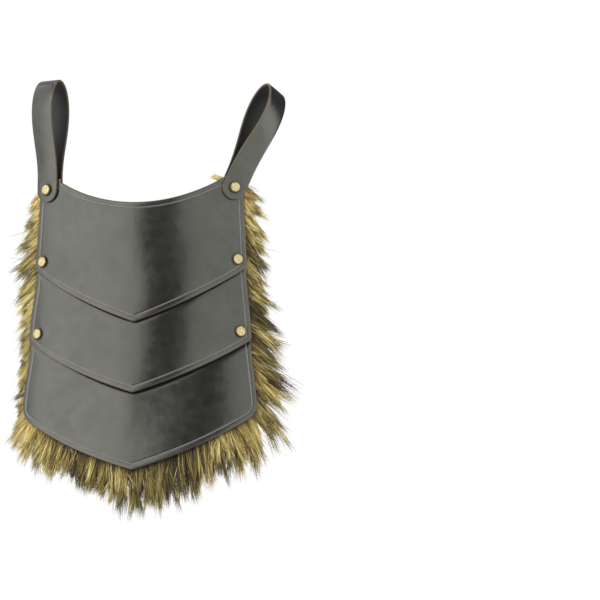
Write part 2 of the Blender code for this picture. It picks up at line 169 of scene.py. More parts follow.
# The backing cloth.
CLOTH_GRID = (64, 61)  # rows and columns
PILE = 1.0 * MM
WRINKLE = 0.25 * MM
WRINKLE_LENGTHS = (17.0 * MM, 21.0 * MM, 40.0 * MM)  # across, down and slantwise, for each radian

# The hair, round the rim from the shoulder on the -X side down, along the lower edge and up again.
# Edge 0 is the -X side, 1 and 2 the lower edge's halves and 3 the +X side; along is the share of that
# edge. Reach is a share of FUR_REACH, fan the degrees from straight down towards +X, tone goes from
# 0, dark brown, to 1, straw, with fewer dark strands past 1, gold is how orange the straw is, and
# breadth is a lock's in millimetres.
FRINGE = rows_of(
    ("edge", "along", "reach", "fan", "tone", "gold", "breadth"),
    (0, 0.00, 0.50, -50, 1.12, 0.5, 7.0),
    (0, 0.14, 0.66, -56, 1.12, 0.3, 8.5),
    (0, 0.30, 0.80, -58, 0.93, 0.1, 9.0),
    (0, 0.50, 0.74, -52, 0.76, 0.0, 8.0),
    (0, 0.72, 0.60, -42, 0.68, 0.0, 7.0),
    (0, 0.94, 0.52, -42, 0.74, 0.3, 6.0),
    (1, 0.06, 0.74, -34, 0.92, 0.4, 6.0),
    (1, 0.22, 0.76, -20, 0.80, 0.2, 5.5),
    (1, 0.40, 0.64, -12, 0.34, 0.0, 5.0),
    (1, 0.62, 0.60, -8, 0.40, 0.0, 5.0),
    (1, 0.85, 0.68, -4, 0.58, 0.0, 5.0),
    (2, 0.05, 0.76, 0, 0.52, 0.0, 5.0),
    (2, 0.25, 0.86, 2, 0.18, 0.0, 5.0),
    (2, 0.45, 0.82, 3, 0.24, 0.0, 5.0),
    (2, 0.62, 0.80, 6, 0.66, 0.2, 6.0),
    (2, 0.95, 1.02, 24, 0.72, 0.3, 8.0),
    (3, 0.06, 1.08, 44, 0.62, 0.3, 9.0),
    (3, 0.25, 0.98, 54, 0.53, 0.2, 9.0),
    (3, 0.45, 0.84, 52, 0.34, 0.0, 9.0),
    (3, 0.70, 0.66, 44, 0.50, 0.0, 8.5),
    (3, 0.88, 0.66, 46, 0.74, 0.3, 8.5),
    (3, 1.00, 0.52, 56, 1.00, 0.8, 7.0),
)
LOCK_SPACING = (4.4 * MM, 3.2 * MM, 3.2 * MM, 4.4 * MM)  # along each edge
LOCK_SHIFT = 0.45  # spacings that a lock strays
LOCK_DEPTH = 3.2 * MM
LOCK_REACHES = (0.88, 1.12)
LOCK_BREADTHS = (0.80, 1.25)
LOCK_DROOP = 0.05  # bent back by this share of its fan
LOCK_TONE = 0.018  # how far its tone strays, for each millimetre of breadth
CLUMP = 2.1  # locks gather in clumps this many breadths apart
CLUMP_HALVES = (0.36, 0.64)  # half a clump, as a share of that
CLUMP_REACH = 1.16  # at a clump's middle
CLUMP_REACHES = (0.90, 1.08)
CLUMP_DIP = (0.09, 3.6)  # lost at its sides, for each millimetre of breadth past the second number
CLUMP_TURN = 10.0  # degrees that its outer locks turn in
CLUMP_TONE = 0.012  # how far its tone strays, for each millimetre of breadth
CLUMP_TIPS = 0.075  # share of the clumps that have dark tips, for each millimetre of breadth
LOCK_TIPS = 0.7  # share of such a clump's locks that have them
STRANDS_IN_LOCK = 42
STRAND_WIDTH = 0.52 * MM
STRAND_WIDTHS = (0.75, 1.25)
STRAND_PLACES = np.array((0.0, 0.3, 0.62, 0.87, 1.0))  # its rings and tip, as shares of its length
RING_WIDTHS = (0.9, 1.0, 0.85, 0.5)
BEND_FROM = 0.1  # the place where a strand's bend is nought
SHORTEST_STRAND = 0.60
ROOT_INSETS = (1.0, 5.0)  # millimetres inside the rim
WANDER = 0.35 * MM  # aside at a strand's tip
GATHER_POWER = 1.5  # above 1, a lock closes up mostly near its point
LEAN_POWER = 1.3  # above 1, a strand leans mostly near its tip
# Degrees that a lock, a strand of it and a loose strand stray in fan, in lean and in bend.
LOCK_STRAY = (4.0, 4.0, 11.0)
STRAND_STRAY = (1.6, 2.5, 3.0)
LOOSE_STRAY = (11.0, 8.0, 8.0)
LOOSE_STRANDS = 0.07  # share of all strands
FUR_SEED = 5

# Layers of locks: how far behind the leather's back each starts, its reach, its lean outwards in
# degrees, its tone, and how far its locks close up to a point.
LAYERS = rows_of(
    ("depth", "reach", "lean", "tone", "gather"),
    (0.5 * MM, 0.66, 5.0, 0.04, 0.97),
    (1.2 * MM, 0.86, 0.0, 0.02, 0.97),
    (2.0 * MM, 1.00, -8.0, 0.00, 0.97),
    # A short undercoat: its low tone is painted shade among the roots.
    (2.4 * MM, 0.70, -6.0, -0.46, 0.40),
)
LEAN_LIMITS = (-20.0, 9.0)
# Stray tufts: across as a share of the half width, reach and fan as above.
TUFTS = rows_of(
    ("across", "reach", "fan", "tone", "gold"),
    (0.780, 0.11, 226, 1.0, 0.0),
    (0.787, 0.16, 234, 0.9, 0.1),
    (0.795, 0.22, 241, 1.0, 0.0),
    (0.803, 0.27, 248, 0.9, 0.1),
    (0.812, 0.29, 256, 0.9, 0.1),
    (0.820, 0.26, 264, 0.7, 0.2),
    (-0.800, 0.08, 168, 0.6, 0.5),
)
STRANDS_IN_TUFT = 16
TUFT_START = 2.5 * MM  # below the scoop's edge
TUFT_DEPTH = 0.8 * MM
TUFT_BEND = 10.0
TUFT_REST = {"lean": 4.0, "dark_tip": 0.0, "gather": 0.5, "breadth": 4.0 * MM}

# The camera sees the tasset where the photograph has it: one millimetre to a pixel of 600.
VIEW_AZIMUTH = 11.16
VIEW_ELEVATION = -4.06
VIEW_DISTANCE = 16.0
VIEW_WIDTH = 0.600  # metres across the picture at the tasset
TIP_IN_VIEW = (0.13103, 0.470)  # the lowest tip, from the picture's left and top
CENTRE_IN_VIEW = (0.150, 0.300)  # the tasset's middle
FLOOR_DROP = 0.30  # below the lowest hair
FLOOR_RADIUS = 2.2
FLOOR_FADE = (0.8, 2.0)  # it thins out to the backdrop between these radii
AMBIENT = 0.12
LIT_PLACE = (0.0, 0.0, -0.19)  # what the softboxes face
# Degrees round from the front towards +X, degrees up, roll in the box's own plane, metres and watts.
SOFTBOXES = rows_of(
    ("name", "azimuth", "elevation", "roll", "distance", "width", "height", "power"),
    ("left_softbox", -42.5, 8, -4, 2.0, 2.45, 2.8, 75),
    ("right_softbox", 50, 8, 0, 2.0, 2.6, 2.8, 50),
    ("left_side_softbox", -95, 15, 0, 2.0, 1.46, 2.8, 19),
    ("right_side_softbox", 94, 0, 0, 2.0, 0.76, 2.6, 18),
    ("top_softbox", 0, 85, 0, 1.8, 2.2, 1.6, 22),
    ("back_softbox", -138, 45, 0, 2.0, 1.6, 1.6, 5),
)


def smooth_step(value, start, end):
    share = np.clip((value - start) / (end - start), 0.0, 1.0)
    return share * share * (3 - 2 * share)


# The tasset's pattern. Each function takes numbers or arrays.


def form_radius(drop):
    return FORM_RADIUS + FORM_FLARE * drop


def strap_middle():
    front = PLAY + STRAP_WALL
    back = -(LEATHER + FUR_WALL + STRAP_WALL + 2 * PLAY)
    return (front + back) / 2


def form_axis_y():
    turn = SHOULDER_RIVET * SHOULDER_HALF_WIDTH / form_radius(SHOULDER_DROP)
    return (FORM_RADIUS + strap_middle()) * math.cos(turn)


def form_frame(across, drop):
    """(point on the form, direction across, direction down, outward normal) at each place."""
    across, drop = np.broadcast_arrays(np.asarray(across, float), np.asarray(drop, float))
    radius = form_radius(drop)
    turn = across / radius
    slope = math.atan(FORM_FLARE)
    zero = np.zeros_like(turn)
    ring = np.stack([np.sin(turn), -np.cos(turn), zero], -1)
    point = np.stack([zero, zero + form_axis_y(), -drop], -1) + ring * radius[..., None]
    sideways = np.stack([np.cos(turn), np.sin(turn), zero], -1)
    upwards = np.array((0.0, 0.0, 1.0))
    normal = ring * math.cos(slope) + upwards * math.sin(slope)
    down = ring * math.sin(slope) - upwards * math.cos(slope)
    return point, sideways, down, normal


def form_point(across, drop, out):
    point, _, _, normal = form_frame(across, drop)
    return point + normal * np.asarray(out, float)[..., None]


def half_width(drop):
    share = (drop - SHOULDER_DROP) / (HIP_DROP - SHOULDER_DROP)
    grown = np.sign(share) * np.abs(share) ** SIDE_BEND
    return SHOULDER_HALF_WIDTH + (HIP_HALF_WIDTH - SHOULDER_HALF_WIDTH) * grown


def corner_inset(share, width, radius):
    past = np.maximum(0.0, np.abs(share) * width - (width - radius))
    return radius - np.sqrt(np.maximum(0.0, radius * radius - past * past))


def lower_edge(lame, share, rounded=True):
    corner, tip = lame["corner"] * BODY_DROP, lame["tip"] * BODY_DROP
    x = np.abs(share)
    drop = tip - (tip - corner) * (x - lame["bow"] * x * (1 - x))
    radius = lame["corner_radius"] * LAP
    return drop - (corner_inset(share, half_width(corner), radius) if rounded else 0.0)


def scoop_edge(share, rounded=True):
    drop = SCOOP_DROP - SCOOP_RISE * share * share
    return drop + (corner_inset(share, half_width(SHOULDER_DROP), SHOULDER_CORNER) if rounded else 0.0)


def upper_edge(index, share, rounded=True):
    if index == 0:
        return scoop_edge(share, rounded)
    above = LAMES[index - 1]
    return lower_edge(above, share, rounded=False) - LAP


def soft_edge(lame, across):
    width = half_width(lame["corner"] * BODY_DROP)
    return lower_edge(lame, np.hypot(across, RIDGE_SOFTNESS) / width, rounded=False)


def lame_out(index, across, drop):
    lame = LAMES[index]
    out = np.zeros_like(across + drop)
    if index > 0:
        covered = soft_edge(LAMES[index - 1], across) + NEST_TOP
        free = soft_edge(lame, across) - LAP
        out = out - (LEATHER + PLAY) * smooth_step(drop, free, covered)
    above_tip = (soft_edge(lame, across) - drop) / (LAP + NEST_TOP)
    sideways = np.abs(across) / half_width(lame["corner"] * BODY_DROP)
    lifted = smooth_step(above_tip, 1.5, 0.0) * smooth_step(sideways, 0.75, 0.0)
    return out + lame["lift"] * LEATHER * lifted


def fur_out(drop):
    lap_top = upper_edge(1, 1.0)
    deeper = smooth_step(drop, lap_top + FUR_STEP[0], lap_top + FUR_STEP[1])
    return -(LEATHER + PLAY) * (1 + deeper)


def rivet_place(level, side):
    if level == 0:
        return side * SHOULDER_RIVET * SHOULDER_HALF_WIDTH, SHOULDER_DROP
    lame = LAMES[level - 1]
    drop = lame["corner"] * BODY_DROP - RIVET_RISE
    return side * lame["rivet"] * half_width(drop), drop


def rivet_reach(level, side):
    across, drop = rivet_place(level, side)
    back = fur_out(drop) - FUR_WALL - PLAY
    if level == 0:
        return STRAP_WALL + 2 * PLAY, back - STRAP_WALL - PLAY
    return lame_out(level - 1, np.array(across), drop) + PLAY, back


# Meshes.


def add_object(name, data):
    obj = bpy.data.objects.new(name, data)
    bpy.context.scene.collection.objects.link(obj)
    return obj


def add_values(mesh, name, values):
    """A value for each point, which the materials read."""
    layer = mesh.attributes.new(name, "FLOAT", "POINT")
    layer.data.foreach_set("value", np.asarray(values, np.float32).ravel())


def place_mesh(name, mesh, material):
    mesh.materials.append(material)
    mesh.shade_smooth()
    return add_object(name, mesh)


def new_mesh(name, points, faces, material, **attributes):
    """A smooth object of these points and faces, with a value per point for each attribute."""
    mesh = bpy.data.meshes.new(name)
    mesh.from_pydata([tuple(p) for p in points], [], faces)
    for key, values in attributes.items():
        add_values(mesh, key, values)
    bm = bmesh.new()
    bm.from_mesh(mesh)
    bmesh.ops.recalc_face_normals(bm, faces=bm.faces)
    bm.to_mesh(mesh)
    bm.free()
    return place_mesh(name, mesh, material)


def wall_faces(rows, columns):
    """Quads of a front grid, a back grid and the strips that join them round the rim."""
    def index(side, i, j):
        return (side * rows + i) * columns + j

    faces = []
    for i in range(rows - 1):
        for j in range(columns - 1):
            for side, order in ((0, 1), (1, -1)):
                quad = [(i, j), (i + 1, j), (i + 1, j + 1), (i, j + 1)][::order]
                faces.append(tuple(index(side, *place) for place in quad))
    rim = [(i, 0) for i in range(rows)]
    rim += [(rows - 1, j) for j in range(1, columns)]
    rim += [(i, columns - 1) for i in range(rows - 2, -1, -1)]
    rim += [(0, j) for j in range(columns - 2, 0, -1)]
    for here, after in zip(rim, rim[1:] + rim[:1]):
        faces.append((index(0, *here), index(1, *here), index(1, *after), index(0, *after)))
    return faces


def make_wall(name, front, back, material, **attributes):
    """A sheet whose sides are two grids of points."""
    points = np.concatenate([front.reshape(-1, 3), back.reshape(-1, 3)])
    return new_mesh(name, points, wall_faces(*front.shape[:2]), material, **attributes)


def edge_roll(distance):
    """How far a burnished edge falls back at a distance inside it."""
    inner = np.clip(EDGE_ROLL - distance, 0.0, EDGE_ROLL)
    return EDGE_ROLL - np.sqrt(EDGE_ROLL ** 2 - inner ** 2)


def groove_share(distance):
    return np.exp(-((distance - GROOVE_INSET) / GROOVE_WIDTH) ** 2)


def inner_distance(side, end, radius):
    """Distance inside an outline whose corner is rounded."""
    corner = radius - np.hypot(np.maximum(radius - side, 0), np.maximum(radius - end, 0))
    return np.where((side < radius) & (end < radius), corner, np.minimum(side, end))


def column_rule():
    """Each column's place as (share of the half width, offset in metres)."""
    stations = EDGE_STATIONS
    inner = np.linspace(-1, 1, LAME_COLUMN_COUNT + 2)[1:-1]
    share = np.concatenate([-np.ones(len(stations)), inner, np.ones(len(stations))])
    offset = np.concatenate([stations, -inner * stations[-1], -stations[::-1]])
    return share, offset


def slant(edge, share, width):
    """The length along an edge per unit across it."""
    step = 0.01
    slope = (edge(np.abs(share) + step) - edge(np.abs(share) - step)) / (2 * step * width)
    return np.minimum(np.sqrt(1 + slope ** 2), SLANT_LIMIT)


def near_rivets(across, drop, rivets, radii):
    """0 past the first radius from each rivet's axis and 1 inside the second."""
    away = [np.hypot(across - place[0], drop - place[1]) for place in rivets]
    return smooth_step(np.min(away, axis=0), *radii)


def flatness(index, across, share):
    """The height that a lame has over its form where it is flatter, at a share of its drop."""
    flat = FLATNESS[index]
    away = (across - flat["centre"] - flat["drift"] * share) / flat["width"]
    turn = np.radians(np.where(away > 0, flat["right"], flat["left"]))
    return turn * flat["width"] * np.log(np.cosh(away)) * smooth_step(share, flat["start"], flat["full"])


def make_lame(index, material):
    """A lame with rolled edges, a tooled line inside those that show and a slight ripple."""
    lame = LAMES[index]
    width = half_width(lame["corner"] * BODY_DROP)
    column_share, column_offset = column_rule()
    share = np.clip(column_share + column_offset / width, -1, 1)
    top, low = upper_edge(index, share), lower_edge(lame, share)
    top_slant = slant(lambda s: upper_edge(index, s, rounded=False), share, width)
    low_slant = slant(lambda s: lower_edge(lame, s, rounded=False), share, width)
    stations = EDGE_STATIONS[:, None]
    first, last = top + stations * top_slant, (low - stations * low_slant)[::-1]
    between = np.linspace(0, 1, LAME_ROW_COUNT + 2)[1:-1, None]
    drop = np.concatenate([first, first[-1] + (last[0] - first[-1]) * between, last])
    across = column_share * half_width(drop) + column_offset

    side = half_width(drop) - np.abs(across)
    below = (lower_edge(lame, share, rounded=False) - drop) / low_slant
    above = (drop - upper_edge(index, share, rounded=False)) / top_slant
    inside = inner_distance(side, below, lame["corner_radius"] * LAP)
    if index == 0:
        inside = np.minimum(inside, inner_distance(side, above, SHOULDER_CORNER))
    edge = np.maximum(np.minimum(inside, above), 0.0)
    groove = groove_share(inside)
    waves = [
        np.sin(place / length + phase * index)
        for place, length, phase in zip((across, drop), RIPPLE_LENGTHS, RIPPLE_PHASES)
    ]
    form_out = lame_out(index, across, drop)
    out = form_out + RIPPLE * waves[0] * waves[1] * smooth_step(edge, *RIPPLE_START)
    bend = flatness(index, across, (drop - top) / (low - top)) - EVENING * form_out
    rivets = [rivet_place(level, s) for level in (index, index + 1) if level < 3 for s in (-1, 1)]
    out -= DIMPLE_DEPTH * near_rivets(across, drop, rivets, DIMPLE_RADII)
    back = form_point(across, drop, out - LEATHER + edge_roll(edge))
    if index > 0:
        past = drop - soft_edge(LAMES[index - 1], across)
        out = out - CREASE_DEPTH * np.exp(-(past / CREASE_WIDTH) ** 2)
    front = form_point(across, drop, out - edge_roll(edge) - GROOVE_DEPTH * groove)
    none = np.zeros_like(edge)
    return make_wall(
        lame["name"] + "_leather", front, back, material,
        edge=(edge / MM, edge / MM),
        groove=(groove, none),
        border=(smooth_step(inside, GROOVE_INSET, 0.5 * MM), none),
        flesh=(none, none + 1),
        bend=(bend, bend),
        halo=(near_rivets(across, drop, rivets, HALO_RADII), none),
    )


def loop_path():
    """The strap's middle line as arrays of height above the rivet, depth and half width."""
    legs = (PLAY + STRAP_WALL / 2) - strap_middle()
    widest = (LOOP_DEPTH - STRAP_WALL) / 2
    top = LOOP_HEIGHT - STRAP_WALL / 2
    end = STRAP_WIDTH / 2
    turn = np.linspace(END_START, math.pi / 2, END_STEPS)
    flat = np.linspace(FLAT_START, LOOP_FLAT * 0.95, FLAT_STEPS)
    rise = np.linspace(0, 1, RISE_STEPS)[:-1]
    fold = np.linspace(0, math.pi, FOLD_STEPS)
    height = np.concatenate([-end * np.cos(turn), flat, LOOP_FLAT + (LOOP_WIDEST - LOOP_FLAT) * rise])
    opening = legs + (widest - legs) * (0.5 - 0.5 * np.cos(math.pi * rise))
    depth = np.concatenate([np.full(END_STEPS + FLAT_STEPS, legs), opening])
    half = np.full(len(height), end)
    half[:END_STEPS] = end * np.sin(turn)
    return (
        np.concatenate([height, LOOP_WIDEST + (top - LOOP_WIDEST) * np.sin(fold), height[::-1]]),
        np.concatenate([depth, widest * np.cos(fold), -depth[::-1]]),
        np.concatenate([half, np.full(FOLD_STEPS, end), half[::-1]]),
    )


def strap_section():
    """(share of the flat width, offset past it in metres, out) round a strap's section."""
    inner = STRAP_WALL / 2 - STRAP_ROLL
    section = []
    for side in (1, -1):
        section += [(side * share, 0.0, side * STRAP_WALL / 2) for share in np.linspace(-1, 1, 11)]
        for middle, degrees in ((inner, (60, 30, 0)), (-inner, (0, -30, -60))):
            for angle in np.radians(degrees):
                out = middle + STRAP_ROLL * math.sin(angle)
                section.append((side, STRAP_ROLL * math.cos(angle), side * out))
    return np.array(section)


def make_loop(loop, material, inner_material):
    """A belt loop swept along its path, with rolled edges, leaning outwards and twisting upwards."""
    side, lean = loop["side"], math.radians(loop["lean"])
    rivet_across, rivet_drop = rivet_place(0, side)
    height, depth, half = loop_path()
    along = np.stack([np.gradient(height), np.gradient(depth)], -1)
    along /= np.linalg.norm(along, axis=1, keepdims=True)
    facing = np.stack([-along[:, 1], along[:, 0]], -1)
    section = strap_section()
    flat = np.maximum(half - STRAP_ROLL, 0.1 * half)[:, None]
    rolled = np.sign(section[:, 0]) * section[:, 1] * np.minimum(half / STRAP_ROLL, 1)[:, None]
    width = section[:, 0] * flat + rolled
    rows, columns = width.shape
    above_rivet = np.repeat(height[:, None], columns, 1)
    dimple = DIMPLE_DEPTH * near_rivets(width, above_rivet, [(0.0, 0.0)], DIMPLE_RADII)
    out = section[:, 2] - np.where(section[:, 2] > 0, dimple, 0)
    heights = height[:, None] + out * facing[:, :1]
    depths = depth[:, None] + out * facing[:, 1:]
    twist = math.radians(loop["twist"]) * smooth_step(heights, 0.0, LOOP_WIDEST)
    turned = width * np.cos(twist) + side * depths * np.sin(twist)
    turned_out = depths * np.cos(twist) - side * width * np.sin(twist)
    across = rivet_across + turned * math.cos(lean) + side * heights * math.sin(lean)
    drop = rivet_drop - heights * math.cos(lean) + side * turned * math.sin(lean)
    points = form_point(across, drop, strap_middle() + turned_out)
    faces = []
    for here in range(0, (rows - 1) * columns, columns):
        for j in range(columns):
            after = (j + 1) % columns
            faces.append((here + j, here + after, here + columns + after, here + columns + j))
    faces.append(tuple(range(columns)))
    faces.append(tuple((rows - 1) * columns + j for j in range(columns)))
    none = np.zeros_like(width)
    strap = new_mesh(
        loop["name"] + "_strap", points.reshape(-1, 3), faces, material,
        edge=np.maximum(half[:, None] - np.abs(width), 0) / MM,
        groove=none,
        border=none,
        bend=none,
        halo=near_rivets(width, above_rivet, [(0.0, 0.0)], HALO_RADII),
        flesh=none + (section[:, 2] < 0),
    )
    strap.data.materials.append(inner_material)
    at_back = section[:, 2] < 0.99 * -STRAP_WALL / 2
    inner = at_back & np.roll(at_back, -1)
    for i, polygon in enumerate(strap.data.polygons):
        polygon.material_index = int(inner[i % columns] and i < (rows - 1) * columns)
    return strap


def make_rivet(name, level, side, material):
    """A turned rivet: a shallow dome inside a rolled rim, the post and a plain cap behind."""
    front, back = rivet_reach(level, side)
    depth = float(front - back)
    dome = [
        (math.sin(turn) * DOME_RADIUS, DOME_FOOT + DOME_RISE * math.cos(turn))
        for turn in np.linspace(0, DOME_TURN, 9)
    ]
    profile = [(r * CAP_RADIUS, h * CAP_HEIGHT) for r, h in (*dome, *CAP_RIM)]
    profile += [(POST_RADIUS, 0.0), (POST_RADIUS, -depth)]
    profile += [(r * CAP_RADIUS, -depth - h * CAP_HEIGHT) for r, h in REAR_CAP]
    bm = bmesh.new()
    vertices = [bm.verts.new((r, 0, h)) for r, h in profile]
    edges = [bm.edges.new(pair) for pair in zip(vertices, vertices[1:])]
    turned = {"cent": (0, 0, 0), "axis": (0, 0, 1), "angle": 2 * math.pi, "steps": 48}
    bmesh.ops.spin(bm, geom=vertices + edges, use_merge=True, **turned)
    bmesh.ops.remove_doubles(bm, verts=bm.verts, dist=0.00001)
    bmesh.ops.recalc_face_normals(bm, faces=bm.faces)
    mesh = bpy.data.meshes.new(name)
    bm.to_mesh(mesh)
    bm.free()
    add_values(mesh, "rim", [math.hypot(*vertex.co.xy) / CAP_RADIUS for vertex in mesh.vertices])
    across, drop = rivet_place(level, side)
    _, sideways, down, normal = form_frame(across, drop)
    turn = Matrix((sideways, -down, normal)).transposed().to_4x4()
    place = Vector(form_point(across, drop, front))
    mesh.transform(Matrix.Translation(place) @ turn)
    rivet = place_mesh(name, mesh, material)
    mesh.set_sharp_from_angle(angle=math.radians(50))
    return rivet


# The fur.


def fur_half_width(drop):
    return half_width(drop) - FUR_INSET


def fur_lower_edge(share):
    return lower_edge(LAMES[-1], share) - FUR_INSET


def make_backing(material):
    """The backing cloth of the fur, behind its pressed pile."""
    rows, columns = CLOTH_GRID
    share = np.linspace(-1, 1, columns)
    top, low = scoop_edge(share) + FUR_TOP_INSET, fur_lower_edge(share)
    drop = top + (low - top) * np.linspace(0, 1, rows)[:, None]
    across = share * fur_half_width(drop)
    sideways, down, slantwise = WRINKLE_LENGTHS
    wrinkle = WRINKLE * np.sin(across / sideways) * np.sin(drop / down + across / slantwise)
    front = form_point(across, drop, fur_out(drop) - PILE + wrinkle)
    back = form_point(across, drop, fur_out(drop) - FUR_WALL + wrinkle)
    backing = make_wall("fur_cloth", front, back, material)
    area = float(np.sum(low - top) / len(share) * 2 * np.mean(fur_half_width(drop)))
    flat = (float(2 * np.max(across)), float(np.max(low) - np.min(top)))
    return backing, flat, area


def rim_place(edge, along):
    """(across, drop) on the backing's rim."""
    top = SHOULDER_DROP - 3.0 * MM
    corner = fur_lower_edge(1.0)
    if edge in (0, 3):
        drop = top + (corner - top) * (along if edge == 0 else 1 - along)
        return (-1 if edge == 0 else 1) * fur_half_width(drop), drop
    share = along - 1 if edge == 1 else along
    drop = fur_lower_edge(share)
    return share * fur_half_width(drop), drop


def fringe_at(place):
    """The fringe's values at an edge's number plus the share along it."""
    at = [station["edge"] + station["along"] for station in FRINGE]
    keys = ("reach", "fan", "tone", "gold", "breadth")
    return {key: np.interp(place, at, [station[key] for station in FRINGE]) for key in keys}


def edge_clumps(edge, length, chance):
    """The clumps along an edge: where each has its middle, its half width, its tone and tips."""
    clumps = []
    along = -chance.uniform(0.0, 0.02)
    while along < 1:
        breadth = fringe_at(edge + along)["breadth"]
        half = CLUMP * breadth * MM / length * chance.uniform(*CLUMP_HALVES)
        clumps.append({
            "middle": along + half,
            "half": half,
            "reach": chance.uniform(*CLUMP_REACHES),
            "tone": chance.normal(0, CLUMP_TONE * breadth),
            "dark_tip": float(chance.random() < CLUMP_TIPS * breadth),
        })
        along += 2 * half
    return clumps


def rim_locks(edge, chance):
    """The locks of hair along one edge, layer by layer, as dictionaries."""
    ends = [Vector(rim_place(edge, along)) for along in (0.0, 1.0)]
    length = (ends[1] - ends[0]).length
    count = round(length / LOCK_SPACING[edge])
    clumps = edge_clumps(edge, length, chance)
    fan_stray, lean_stray, bend_stray = LOCK_STRAY
    locks = []
    for layer in LAYERS:
        for i in range(count):
            along = (i + 0.5 + chance.uniform(-LOCK_SHIFT, LOCK_SHIFT)) / count
            along = min(max(along, 0.0), 1.0)
            across, drop = rim_place(edge, along)
            read = fringe_at(edge + along)
            clump = min(clumps, key=lambda c: abs(along - c["middle"]) / c["half"])
            aside = min(max((along - clump["middle"]) / clump["half"], -1.0), 1.0)
            dip = CLUMP_DIP[0] * (read["breadth"] - CLUMP_DIP[1])
            gathered = clump["reach"] * (CLUMP_REACH - dip * abs(aside))
            reach = read["reach"] * layer["reach"] * FUR_REACH * gathered
            tone = read["tone"] + layer["tone"] + clump["tone"]
            locks.append({
                **read,
                "across": across,
                "drop": drop,
                "out": fur_out(drop) - layer["depth"],
                "reach": reach * chance.uniform(*LOCK_REACHES),
                "fan": read["fan"] - CLUMP_TURN * aside + chance.normal(0, fan_stray),
                "lean": layer["lean"] + chance.normal(0, lean_stray),
                "bend": chance.normal(0, bend_stray) - LOCK_DROOP * read["fan"],
                "tone": tone + chance.normal(0, LOCK_TONE * read["breadth"]),
                "dark_tip": clump["dark_tip"] * float(chance.random() < LOCK_TIPS),
                "gather": layer["gather"],
                "breadth": read["breadth"] * chance.uniform(*LOCK_BREADTHS) * MM,
            })
    return locks


def tuft_locks(chance):
    locks = []
    for tuft in TUFTS:
        drop = scoop_edge(tuft["across"]) + TUFT_START
        locks.append({
            **tuft,
            **TUFT_REST,
            "across": tuft["across"] * half_width(drop),
            "drop": drop,
            "out": fur_out(drop) - TUFT_DEPTH,
            "reach": tuft["reach"] * FUR_REACH,
            "bend": chance.normal(0, TUFT_BEND),
        })
    return locks


# Hair colours from dark to light, at these tones.
TONES = (0.0, 0.35, 0.70, 1.0)
TONE_COLOURS = (
    (0.020, 0.012, 0.006),
    (0.125, 0.086, 0.023),
    (0.470, 0.368, 0.098),
    (0.880, 0.765, 0.330),
)
GOLD = (1.0, 0.72, 0.42)  # what straw is multiplied by where it is golden
DARK_TIP = (0.020, 0.016, 0.012)
DARK_STRANDS = 0.08  # share of the strands that have a dark tip in any lock
# Painted shade between locks: tone lost by the strands at a lock's sides.
LOCK_SIDE_SHADE = 0.26  # lost by the strands at a lock's sides
STRAND_TONE = 0.24  # how far a strand's tone strays
TONE_LIMITS = (0.02, 1.05)
# Along a strand, as (places, values): the tone that it gains, low at the root partly as painted shade, how
# golden and how dark-tipped it is.
TONE_AND_ROOT_SHADE_ALONG = ((0.0, 0.22, 0.55, 1.0), (-0.75, -0.20, 0.07, 0.12))
GOLD_ALONG = ((0.3, 1.0), (1.0, 0.35))
DARK_ALONG = ((0.5, 0.9), (0.0, 0.9))


def tone_colour(tone):
    return np.stack([np.interp(tone, TONES, [c[k] for c in TONE_COLOURS]) for k in range(3)], -1)


def strand_colours(values, chance):
    """A colour for each ring and the tip of each strand: darker at the root, partly as painted shade, some
    with dark tips.
    """
    count = len(values["tone"])
    places = STRAND_PLACES
    # Strands at a lock's sides are darkened as painted shade between locks.
    tone = values["tone"] - LOCK_SIDE_SHADE * values["spot"] ** 4 + chance.normal(0, STRAND_TONE, count)
    # Low tone at the root is partly painted shade under the leather.
    tone = np.clip(tone, *TONE_LIMITS)[:, None] + np.interp(places, *TONE_AND_ROOT_SHADE_ALONG)
    colour = tone_colour(np.clip(tone, 0, 1))
    golden = values["gold"][:, None] * np.interp(places, *GOLD_ALONG)
    colour = colour * (1 - golden[..., None] * (1 - np.array(GOLD)))
    dark = values["dark_tip"] * chance.uniform(0.5, 1.0, count) + (chance.random(count) < DARK_STRANDS)
    dark = np.clip(dark, 0, 1)[:, None] * np.interp(places, *DARK_ALONG)
    return colour * (1 - dark[..., None]) + np.array(DARK_TIP) * dark[..., None]


